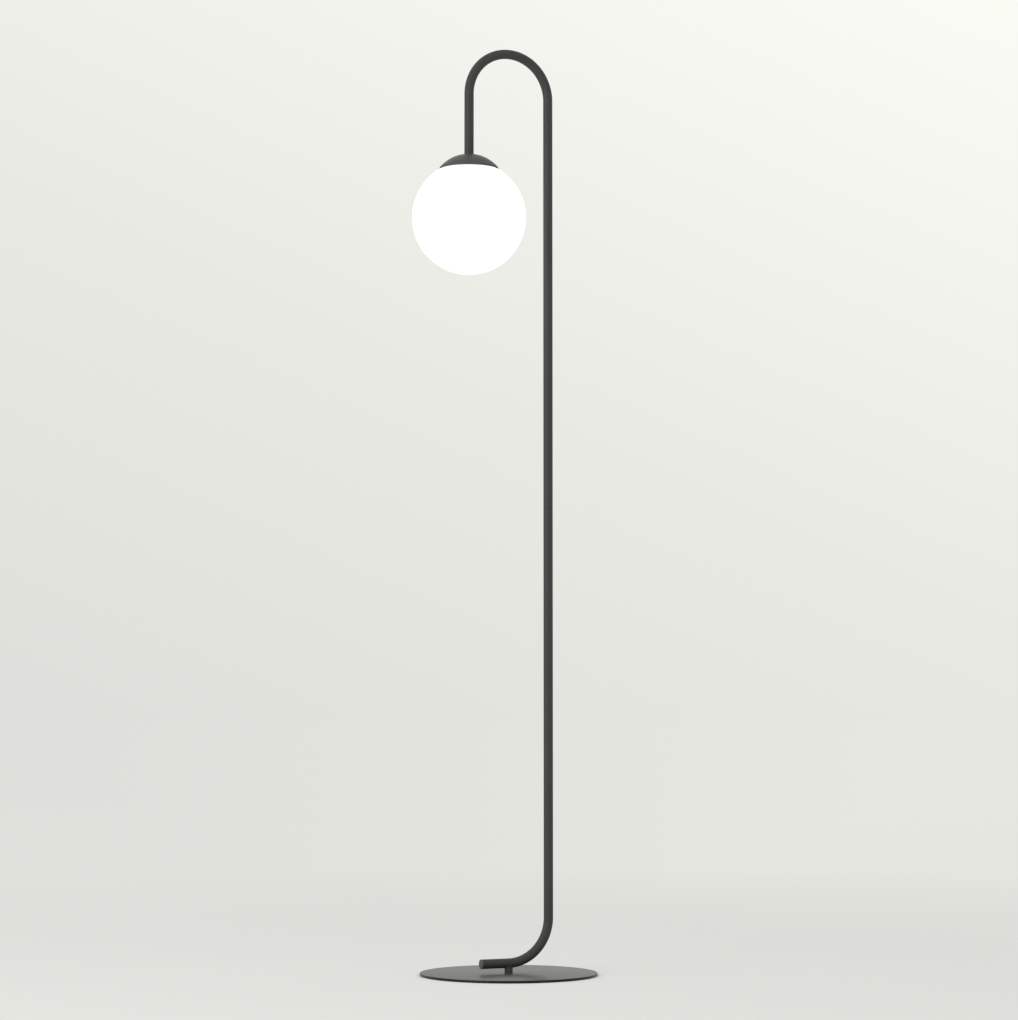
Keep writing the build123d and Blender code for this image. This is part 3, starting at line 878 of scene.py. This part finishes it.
class LAMP_OT_globe(bpy.types.Operator):
    """Opal globe with a threaded neck, the fitter that it screws into and the gasket between them"""

    bl_idname = "lamp.globe"
    bl_label = "Globe"

    def execute(self, context):
        settings = context.scene.lamp_globe
        glass = lit_glass("opal_glass", settings.opal, settings.glow, settings.glow_strength, 0.3)
        shaded_neck(glass, bottom_of("dome_cap"), settings.neck_fade, settings.neck_glow)
        thread = neck_thread(settings.thread_pitch, settings.thread_depth)
        globe = turned("opal_globe", globe_outline(settings), sides=256, shape=thread, closed=False)
        dress(globe, glass.material, "globe", "opal_glass", "glass_globe")
        zinc = plated_metal("fitter_zinc", ZINC, 0.28, along=(1.0, 1.0, 0.2))
        fitter = turned("globe_gallery", fitter_outline(settings), sides=192, shape=rolled_thread(settings))
        dress(fitter, zinc, "lamp", "fitter_steel", "globe_fitter")
        silicone = moulded("gasket_silicone", SILICONE, 0.45)
        ring = turned("silicone_ring", gasket_outline(), sides=128)
        dress(ring, silicone, "gasket", "gasket_silicone", "neck_gasket")
        return {"FINISHED"}


def globe_outline(settings):
    """Outside from the bottom up to the neck's top, and back down inside."""
    wall = settings.wall
    centre = (0, globe_z)
    neck_top = top_of("glass_globe")
    shoulder = math.atan2(shoulder_z - globe_z, neck_radius)
    bore = neck_radius - wall
    inner_radius = globe_radius - wall
    inner_shoulder = math.acos(bore / inner_radius)
    rows, lip_rows = 40, 3
    step = (neck_top - shoulder_z) / rows
    outside = arc(centre, globe_radius, -QUARTER, shoulder, steps=120)
    neck = [(neck_radius, shoulder_z + step * row) for row in range(1, rows - lip_rows)]
    polished = arc((neck_radius - wall / 2, neck_top - wall / 2), wall / 2, 0, math.pi, steps=12)
    inside = arc(centre, inner_radius, inner_shoulder, -QUARTER, steps=96)
    return outside + neck + polished + inside


def neck_thread(pitch, depth):
    """Shape that cuts a rounded thread into the outside of the neck, fading at both ends."""
    neck_top = top_of("glass_globe")

    def thread(radius, height, angle):
        if radius < neck_radius - ON_SURFACE or height <= shoulder_z:
            return radius
        return radius - depth * faded(height, shoulder_z, neck_top) * thread_wave(height, pitch, angle)

    return thread


def fitter_outline(settings):
    """Plate with a rolled skirt, from the hanger's hole outward."""
    radius, bottom, top = round_size("globe_fitter")
    wall, rows = settings.fitter_wall, 24
    outer_round, inner_round = 1 * MM, 0.5 * MM
    step = (top - FITTER_SHOULDER - bottom) / rows
    skirt = [(radius, top - FITTER_SHOULDER - step * row) for row in range(rows + 1)]
    inside = [(radius - wall, height) for _, height in reversed(skirt)]
    corner = arc((radius - outer_round, top - outer_round), outer_round, QUARTER, 0, steps=8)
    inner_centre = (radius - wall - inner_round, top - wall - inner_round)
    inner_corner = arc(inner_centre, inner_round, 0, QUARTER, steps=4)
    return [(HANGER_HOLE, top), *corner, *skirt, *inside, *inner_corner, (HANGER_HOLE, top - wall)]


def rolled_thread(settings):
    """Shape that rolls the neck's thread into the fitter's skirt."""
    start = top_of("globe_fitter") - FITTER_SHOULDER
    skirt = radius_of("globe_fitter") - 2 * settings.fitter_wall
    depth = settings.thread_depth / 2

    def roll(radius, height, angle):
        if radius < skirt or height >= start:
            return radius
        fade = min(1.0, (start - height) / MM)
        return radius - depth * fade * thread_wave(height, settings.thread_pitch, angle)

    return roll


def gasket_outline():
    """Flat ring with softened corners."""
    outer, bottom, top = round_size("neck_gasket")
    width, soft = 2.1 * MM, 0.25 * MM
    inner = outer - width
    return softened([(inner, bottom, soft), (outer, bottom, soft), (outer, top, soft), (inner, top, soft)])


# ---------------------------------------------------------------- lampholder


class LAMP_OT_holder(bpy.types.Operator):
    """Lampholder in two screwed halves, with its ceramic core, contacts, terminals and leads"""

    bl_idname = "lamp.holder"
    bl_label = "Lampholder"

    def execute(self, context):
        settings = context.scene.lamp_holder
        plastic = moulded("holder_plastic", settings.plastic, 0.38)
        cap = turned("holder_upper_half", holder_cap_outline(settings), sides=112)
        cut(cap, grub_hole())
        dress(cap, plastic, "lamp", "holder_plastic", "holder_cap")
        grip = fluted(settings.flutes, settings.flute_depth)
        outline = holder_shell_outline(settings)
        shell = turned("holder_lower_half", outline, sides=8 * settings.flutes, shape=grip)
        dress(shell, plastic, "lamp", "holder_plastic", "holder_shell")
        coat(unglazed_ceramic("holder_ceramic", CERAMIC), "holder_core")
        coat(plated_metal("contact_nickel", NICKEL, 0.26), "holder_screw_shell")
        coat(plated_metal("terminal_brass", BRASS, 0.3), "centre_contact", "terminal_clamps")
        coat(plated_metal("terminal_steel", SCREW_STEEL, 0.3), "terminal_screws")
        coat(moulded("lead_brown", LEAD_BROWN, 0.35), "live_lead")
        coat(moulded("lead_blue", LEAD_BLUE, 0.35), "neutral_lead")
        return {"FINISHED"}


def holder_cap_outline(settings):
    """Collar, cone and skirt of the upper half, and the room inside."""
    radius, bottom, top = round_size("holder_cap")
    collar = 7.6 * MM
    collar_bottom, cone_bottom = top - 5 * MM, top - 9 * MM
    bore, roof = radius - settings.wall, cone_bottom - settings.wall
    corners = [
        (HANGER_HOLE, top, 0),
        (collar, top, 0.3 * MM),
        (collar, collar_bottom, 0.8 * MM),
        (radius, cone_bottom, 1.2 * MM),
        (radius, bottom, 0.3 * MM),
        (bore, bottom, 0.2 * MM),
        (bore, roof, 0.6 * MM),
        (HANGER_HOLE, bottom_of("hanger_nipple"), 0),
    ]
    return softened(corners)


def grub_hole():
    """Bar that cuts the grub screw's hole in the collar."""
    low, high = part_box("holder_grub_screw")
    inward, outward = 1 * MM, 2 * MM
    radius = (high.z - low.z) / 2 + CLEARANCE
    height = centre_of("holder_grub_screw").z
    start, end = Vector((low.x - inward, 0, height)), Vector((high.x + outward, 0, height))
    return round_bar("grub_cutter", radius, start, end)


def holder_shell_outline(settings):
    """Lower half: fluted outside, spigot on top, and a lip round the mouth."""
    radius, bottom, top = round_size("holder_shell")
    split = bottom_of("holder_cap")
    soft, rows = 0.5 * MM, 30
    step = (split - bottom - 2 * soft) / rows
    grip = [(radius, bottom + soft + step * row) for row in range(rows + 1)]
    lip = arc((radius - soft, bottom + soft), soft, -QUARTER, 0, steps=5)[:-1]
    top_edge = arc((radius - soft, split - soft), soft, 0, QUARTER, steps=5)[1:]
    spigot = radius_of("holder_cap") - settings.wall - CLEARANCE
    spigot_bore = spigot - 0.9 * MM
    ledge_bore = radius_of("holder_core") - 2.3 * MM
    ledge_top, ledge_bottom, slope_end = top - 5.8 * MM, top - 8.8 * MM, top - 10.6 * MM
    bore, mouth = radius - settings.wall, settings.mouth
    mouth_top, chamfer = bottom + 2 * MM, 0.4 * MM
    inside = [
        (spigot, split),
        (spigot, top),
        (spigot_bore, top),
        (spigot_bore, ledge_top),
        (ledge_bore, ledge_top),
        (ledge_bore, ledge_bottom),
        (bore, slope_end),
        (bore, mouth_top),
        (mouth, mouth_top),
        (mouth, bottom + chamfer),
        (mouth + chamfer, bottom),
    ]
    return [*lip, *grip, *top_edge, *inside]


def fluted(count, depth):
    """Shape that presses shallow flutes into the lower half's outside, between plain bands."""
    outside = radius_of("holder_shell") - ON_SURFACE
    band = 3 * MM
    low, high = bottom_of("holder_shell") + band, bottom_of("holder_cap") - band

    def flute(radius, height, angle):
        if radius < outside:
            return radius
        return radius - depth * faded(height, low, high) * (0.5 - 0.5 * math.cos(count * angle)) ** 2

    return flute


# ---------------------------------------------------------------- bulb


class LAMP_OT_bulb(bpy.types.Operator):
    """Small bulb: threaded cap, insulator, tip, flared collar, frosted ball, and the boards inside"""

    bl_idname = "lamp.bulb"
    bl_label = "Bulb"

    def execute(self, context):
        settings = context.scene.lamp_bulb
        nickel = plated_metal("cap_nickel", CAP_NICKEL, 0.24)
        thread = cap_thread(settings.thread_pitch, settings.thread_depth)
        cap = turned("bulb_threaded_cap", cap_outline(), sides=96, shape=thread)
        dress(cap, nickel, "bulb", "contact_nickel", "bulb_screw_cap")
        tip = turned("bulb_tip", tip_outline(), sides=64, closed=False)
        dress(tip, nickel, "bulb_tip", "contact_nickel", "bulb_tip_contact")
        insulation = moulded("bulb_insulation", BLACK_GLASS, 0.2)
        cone = turned("bulb_black_cone", cone_outline(), sides=96, closed=False)
        dress(cone, insulation, "bulb", "bulb_insulation", "bulb_insulator")
        housing = moulded("bulb_housing", settings.housing, 0.32)
        collar = turned("bulb_flared_collar", collar_outline(), sides=160)
        dress(collar, housing, "bulb", "bulb_housing", "bulb_collar")
        frost = lit_glass("bulb_frosted", settings.frost, settings.glow, settings.glow_strength, 0.5)
        ball = turned("bulb_frosted_ball", ball_outline(settings.wall), sides=160, closed=False)
        dress(ball, frost.material, "bulb", "bulb_frosted", "bulb_dome")
        coat(circuit_board("board_white", **WHITE_BOARD), "led_board")
        coat(circuit_board("board_green", **GREEN_BOARD), "driver_board")
        coat(lit_glass("chip_yellow", CHIP_YELLOW, CHIP_GLOW, 0.8, 0.35).material, "led_chips")
        return {"FINISHED"}


def cap_outline():
    """Thin threaded shell, outside up and inside down."""
    radius, bottom, top = round_size("bulb_screw_cap")
    rows, wall = 96, 0.3 * MM
    heights = [bottom + (top - bottom) * row / rows for row in range(rows + 1)]
    inner = radius - wall
    return [(radius, height) for height in heights] + [(inner, height) for height in reversed(heights)]


def cap_thread(pitch, depth):
    """Shape that rolls a round thread into both sides of the cap's shell."""
    plain = 1 * MM
    low, high = bottom_of("bulb_screw_cap") + plain, top_of("bulb_screw_cap") - plain

    def thread(radius, height, angle):
        return radius - depth * faded(height, low, high) * thread_wave(height, pitch, angle)

    return thread


def tip_outline():
    """Solder tip with a domed top."""
    radius, bottom, top = round_size("bulb_tip_contact")
    rise = 0.7 * MM
    crown = (radius**2 + rise**2) / (2 * rise)
    half = math.asin(radius / crown)
    dome = arc((0, top - crown), crown, QUARTER - half, QUARTER, steps=10)
    return [(0, bottom), (radius, bottom), *dome]


def cone_outline():
    """Black cone between the cap's shell and its tip, which it clears so that it can turn."""
    tip, tip_gap, deepest_sag = radius_of("bulb_tip_contact"), 0.03 * MM, 0.35 * MM
    radius, bottom, top = round_size("bulb_insulator")
    top -= tip_gap
    cap_top = top_of("bulb_screw_cap")
    points = [(0, bottom), (radius, bottom), (radius, cap_top)]
    steps = 10
    for step in range(1, steps + 1):
        share = step / steps
        sag = deepest_sag * math.sin(math.pi * share)
        points.append((radius + (tip - radius) * share - sag, cap_top + (top - cap_top) * share))
    return [*points, (0, top)]


def collar_outline():
    """Flare from the cap down to the ball's mouth, as a smooth curve, and the wall inside it."""
    low, high = bottom_of("bulb_collar"), bottom_of("bulb_screw_cap")
    wide, narrow = radius_of("bulb_collar"), radius_of("bulb_screw_cap")
    wall, straight_end, steps = 1.2 * MM, low + 4 * MM, 28
    plug, bore, plug_top = narrow - 0.4 * MM, narrow - 1.4 * MM, high + 4 * MM
    outside = [(wide, low)]
    for step in range(steps + 1):
        share = step / steps
        ease = share * share * (3 - 2 * share)
        outside.append((wide + (narrow - wide) * ease, straight_end + (high - straight_end) * share))
    inside = [(max(radius - wall, bore), height) for radius, height in reversed(outside)]
    return [*outside, (plug, high), (plug, plug_top), (bore, plug_top), *inside]


def ball_outline(wall):
    """Frosted ball from its bottom up to the collar, and back down inside."""
    radius = radius_of("bulb_dome")
    centre = (0, bottom_of("bulb_dome") + radius)
    rise = top_of("bulb_dome") - centre[1]
    outside = arc(centre, radius, -QUARTER, math.asin(rise / radius), steps=72)
    inside = arc(centre, radius - wall, math.asin(rise / (radius - wall)), -QUARTER, steps=60)
    return outside + inside


# ---------------------------------------------------------------- studio


class LAMP_OT_studio(bpy.types.Operator):
    """Pale floor, backdrop, soft light and camera"""

    bl_idname = "lamp.studio"
    bl_label = "Studio"

    def execute(self, context):
        settings = context.scene.lamp_studio
        rings = [(0, 0), *((edge, 0) for edge in FLOOR_EDGES)]
        floor = turned("studio_floor", rings, sides=128, x=0, closed=False)
        floor.location.z = -FLOOR_DROP
        floor.data.materials.append(floor_finish(settings))
        context.scene.world = backdrop(settings)
        area_light("key_softbox", settings.key, settings.key_size, settings.key_place, settings.key_target)
        place_camera(context.scene, settings)
        context.scene.view_settings.view_transform = "Standard"
        return {"FINISHED"}


def backdrop_colour(graph, way, lean, settings):
    """Colour of the backdrop along a way: lighter upward, and towards two opposite corners."""
    sine, cosine = math.sin(settings.lean_heading), math.cos(settings.lean_heading)
    right, ahead, up = (
        graph.vectors("DOT_PRODUCT", way, direction)
        for direction in ((cosine, -sine, 0), (sine, cosine, 0), (0, 0, 1))
    )
    limit = settings.lean_limit
    capped = graph.between(graph.maths("MULTIPLY", right, ahead), -limit, limit, -limit, limit)
    rise = graph.maths("MULTIPLY_ADD", capped, lean, up)
    darkest, lightest = -0.08, 0.32
    share = graph.between(rise, 0.0, 1.0, darkest, lightest)
    stops = (0.0, settings.low), (0.45, settings.middle), (0.7, settings.upper), (1.0, settings.high)
    return graph.tints(share, *stops)


def floor_finish(settings):
    """Matt floor near the lamp that turns into the backdrop's own colour further out."""
    floor = Finish("studio_floor", {"Roughness": 0.9, "Specular IOR Level": 0.1})
    floor.mottled(settings.floor, 0.004, 3.0)
    away = floor.vectors("LENGTH", floor.place)
    far = floor.between(away, 0.0, 1.0, settings.blend_start, settings.blend_end)
    way = floor.vectors("NORMALIZE", floor.place)
    taken_up = floor.maths("DIVIDE", away, floor.maths("ADD", away, settings.lean_reach))
    lean = floor.maths("MULTIPLY", taken_up, settings.lean)
    seen = backdrop_colour(floor, way, lean, settings)
    glow = floor.add("ShaderNodeEmission", {"Color": seen, "Strength": 1.0})
    near = floor.shader.outputs["BSDF"]
    mix = floor.add("ShaderNodeMixShader", {"Fac": far, 1: near, 2: glow.outputs[0]})
    floor.tree.links.new(mix.outputs["Shader"], floor.tree.nodes["Material Output"].inputs["Surface"])
    return floor.material


def backdrop(settings):
    """World that the camera and the glossy surfaces see as a soft gradient, and that lights evenly."""
    world = bpy.data.worlds.new("studio_backdrop")
    world.use_nodes = True
    sky = Graph(world.node_tree)
    sky.tree.nodes.clear()
    way = sky.add("ShaderNodeTexCoord", {}).outputs["Generated"]
    gradient = backdrop_colour(sky, way, settings.lean, settings)
    seen = sky.add("ShaderNodeBackground", {"Color": gradient, "Strength": 1.0})
    light = sky.add("ShaderNodeBackground", {"Color": DAYLIGHT, "Strength": settings.ambient})
    path = sky.add("ShaderNodeLightPath", {})
    shown = path.outputs["Is Camera Ray"]
    for ray in ("Is Glossy Ray", "Is Transmission Ray"):
        shown = sky.maths("MAXIMUM", shown, path.outputs[ray])
    mix = sky.add("ShaderNodeMixShader", {"Fac": shown, 1: light.outputs[0], 2: seen.outputs[0]})
    sky.add("ShaderNodeOutputWorld", {"Surface": mix.outputs["Shader"]})
    return world


def area_light(name, power, size, place, target):
    """Square soft light aimed at a point."""
    light = bpy.data.lights.new(name, "AREA")
    light.energy = power
    light.size = size
    lamp = bpy.data.objects.new(name, light)
    lamp.location = place
    lamp.rotation_euler = (Vector(target) - Vector(place)).to_track_quat("-Z", "Y").to_euler()
    lamp.visible_camera = False
    bpy.context.scene.collection.objects.link(lamp)


def place_camera(scene, settings):
    """Camera at the photograph's viewpoint."""
    data = bpy.data.cameras.new("view")
    data.lens = settings.lens
    data.sensor_width = 36
    data.clip_end = 200
    camera = bpy.data.objects.new("view", data)
    camera.location = settings.eye
    camera.rotation_euler = (QUARTER + settings.pitch, 0, -settings.heading)
    scene.collection.objects.link(camera)
    scene.camera = camera


# ---------------------------------------------------------------- panel and registration

SETTINGS = {
    "lamp_base": BaseSettings,
    "lamp_stem": StemSettings,
    "lamp_dome": DomeSettings,
    "lamp_globe": GlobeSettings,
    "lamp_holder": HolderSettings,
    "lamp_bulb": BulbSettings,
    "lamp_studio": StudioSettings,
}
OPERATORS = (
    LAMP_OT_base,
    LAMP_OT_stem,
    LAMP_OT_inlet,
    LAMP_OT_dome,
    LAMP_OT_hanger,
    LAMP_OT_globe,
    LAMP_OT_holder,
    LAMP_OT_bulb,
    LAMP_OT_studio,
)


class VIEW3D_PT_globe_lamp(bpy.types.Panel):
    """Lists the lamp's groups of pieces, with the settings of each"""

    bl_label = "Globe Floor Lamp"
    bl_space_type = "VIEW_3D"
    bl_region_type = "UI"
    bl_category = "Globe Lamp"

    def draw(self, context):
        for operator in OPERATORS:
            box = self.layout.box()
            box.operator(operator.bl_idname)
            settings = getattr(context.scene, operator.bl_idname.replace(".", "_"), None)
            for name in getattr(settings, "__annotations__", {}):
                box.prop(settings, name)


def register():
    """Registers the settings, the operators and the panel."""
    for name, group in SETTINGS.items():
        bpy.utils.register_class(group)
        setattr(bpy.types.Scene, name, PointerProperty(type=group))
    for operator in OPERATORS:
        bpy.utils.register_class(operator)
    bpy.utils.register_class(VIEW3D_PT_globe_lamp)


def unregister():
    """Removes what register added."""
    bpy.utils.unregister_class(VIEW3D_PT_globe_lamp)
    for operator in reversed(OPERATORS):
        bpy.utils.unregister_class(operator)
    for name, group in SETTINGS.items():
        delattr(bpy.types.Scene, name)
        bpy.utils.unregister_class(group)


def main():
    """Makes every piece and the studio."""
    register()
    bpy.ops.lamp.base()
    bpy.ops.lamp.stem()
    bpy.ops.lamp.inlet()
    bpy.ops.lamp.dome()
    bpy.ops.lamp.hanger()
    bpy.ops.lamp.globe()
    bpy.ops.lamp.holder()
    bpy.ops.lamp.bulb()
    bpy.ops.lamp.studio()


if __name__ == "__main__":
    main()
